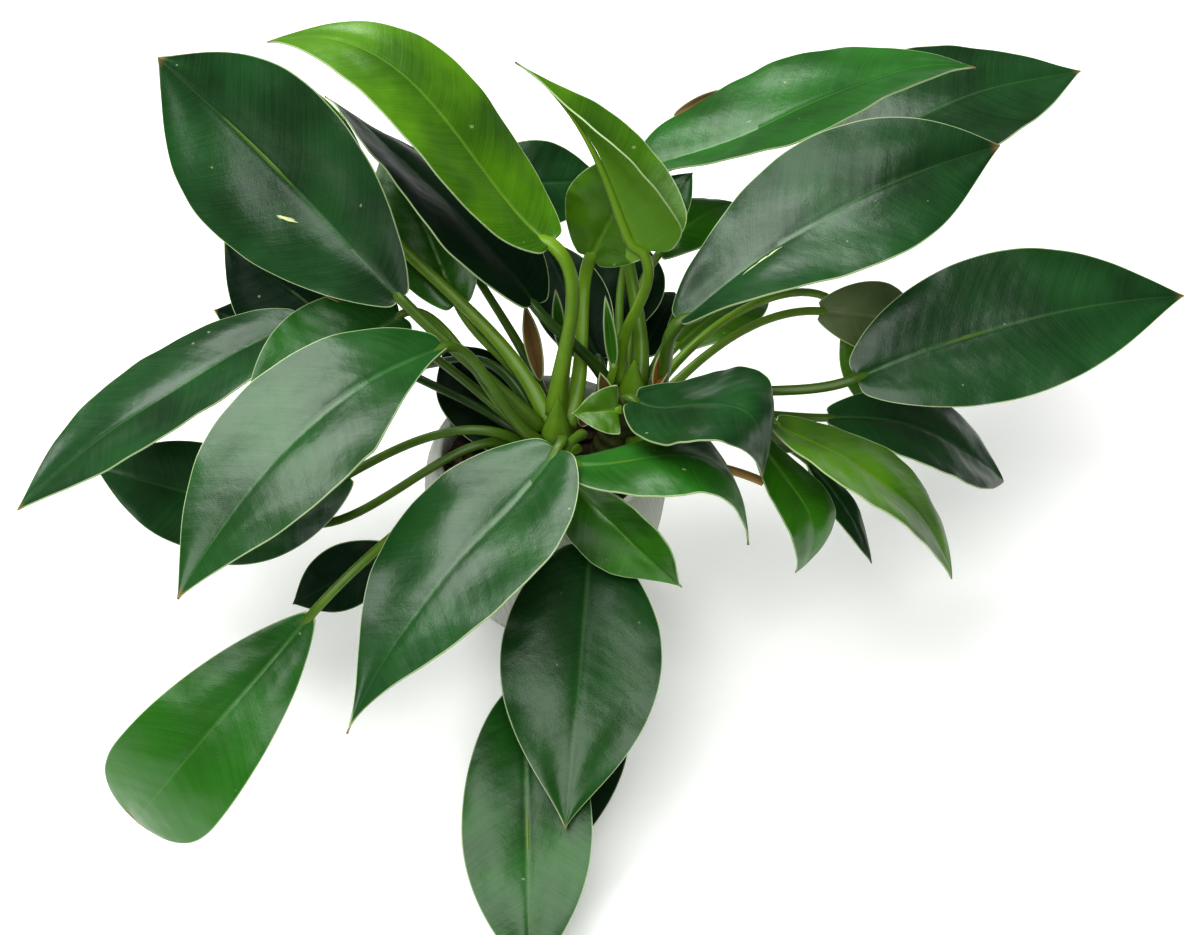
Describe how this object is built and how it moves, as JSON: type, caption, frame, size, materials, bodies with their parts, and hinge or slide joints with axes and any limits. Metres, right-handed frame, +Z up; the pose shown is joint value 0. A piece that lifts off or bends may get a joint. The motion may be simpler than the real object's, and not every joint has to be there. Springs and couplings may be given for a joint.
{
  "type": "potted philodendron plant",
  "caption": "Leafy potted philodendron: long glossy green leaves on arching stalks rise and hang round from two short crowns in a fluted round pot filled with soil.",
  "frame": {"origin": "middle of the pot's flat underside", "axes": "+Z up out of the pot, -Y to the front that the picture shows, +X to the viewer's right"},
  "size_m": [0.681, 0.5634, 0.3506],
  "materials": {
    "pot": "matt, fluted",
    "soil": "rough bark mulch",
    "stem": "rough, scarred",
    "leaf_old": "glossy, dark blue-green",
    "leaf_mature": "glossy green",
    "leaf_fresh": "glossy bright green",
    "leaf_young": "glossy yellow-green",
    "leaf_dull": "dull olive",
    "dry": "dry, brown"
  },
  "bodies": {
    "root": {"pot": "pot", "soil": "soil", "stem_left": "stem", "stem_right": "stem", "leaf_left_front_lowest": "leaf_mature", "leaf_left_front_hidden": "leaf_mature", "leaf_left_front_hanging": "leaf_old", "leaf_left_low_front_corner": "leaf_mature", "leaf_left_low_side_a": "leaf_old", "leaf_left_low_side_b": "leaf_old", "leaf_left_low_small": "leaf_old", "leaf_left_back_dark_a": "leaf_old", "leaf_left_back_dark_b": "leaf_old", "leaf_left_far_side": "leaf_old", "leaf_left_side_small": "leaf_mature", "leaf_left_crown_shaded": "leaf_old", "leaf_left_big_side": "leaf_old", "leaf_left_big_front": "leaf_old", "leaf_left_front_centre": "leaf_mature", "leaf_left_front_under": "leaf_fresh", "leaf_left_underside": "leaf_fresh", "leaf_left_back_behind": "leaf_fresh", "leaf_left_back_top": "leaf_old", "leaf_left_upper_big": "leaf_old", "leaf_left_back_young": "leaf_young", "leaf_left_top_bright": "leaf_young", "leaf_right_low_dark": "leaf_old", "leaf_right_low_pair_small": "leaf_old", "leaf_right_fading": "leaf_young", "leaf_right_dull": "leaf_dull", "leaf_right_back_far": "leaf_old", "leaf_right_arching": "leaf_fresh", "leaf_right_bright_side": "leaf_young", "leaf_right_side_big": "leaf_old", "leaf_right_under_bright": "leaf_young", "leaf_right_back_a": "leaf_old", "leaf_right_back_b": "leaf_old", "leaf_right_back_light": "leaf_fresh", "leaf_right_crown_heart": "leaf_old", "leaf_right_shaded_centre": "leaf_old", "leaf_right_back_small": "leaf_mature", "leaf_right_back_long": "leaf_mature", "leaf_right_upper_big": "leaf_old", "leaf_right_behind_dark": "leaf_old", "leaf_right_folded_young": "leaf_young", "bract_right_crown": "leaf_young", "sheath_right_bright": "leaf_fresh", "old_stalk_right": "dry"}
  },
  "joints": []
}
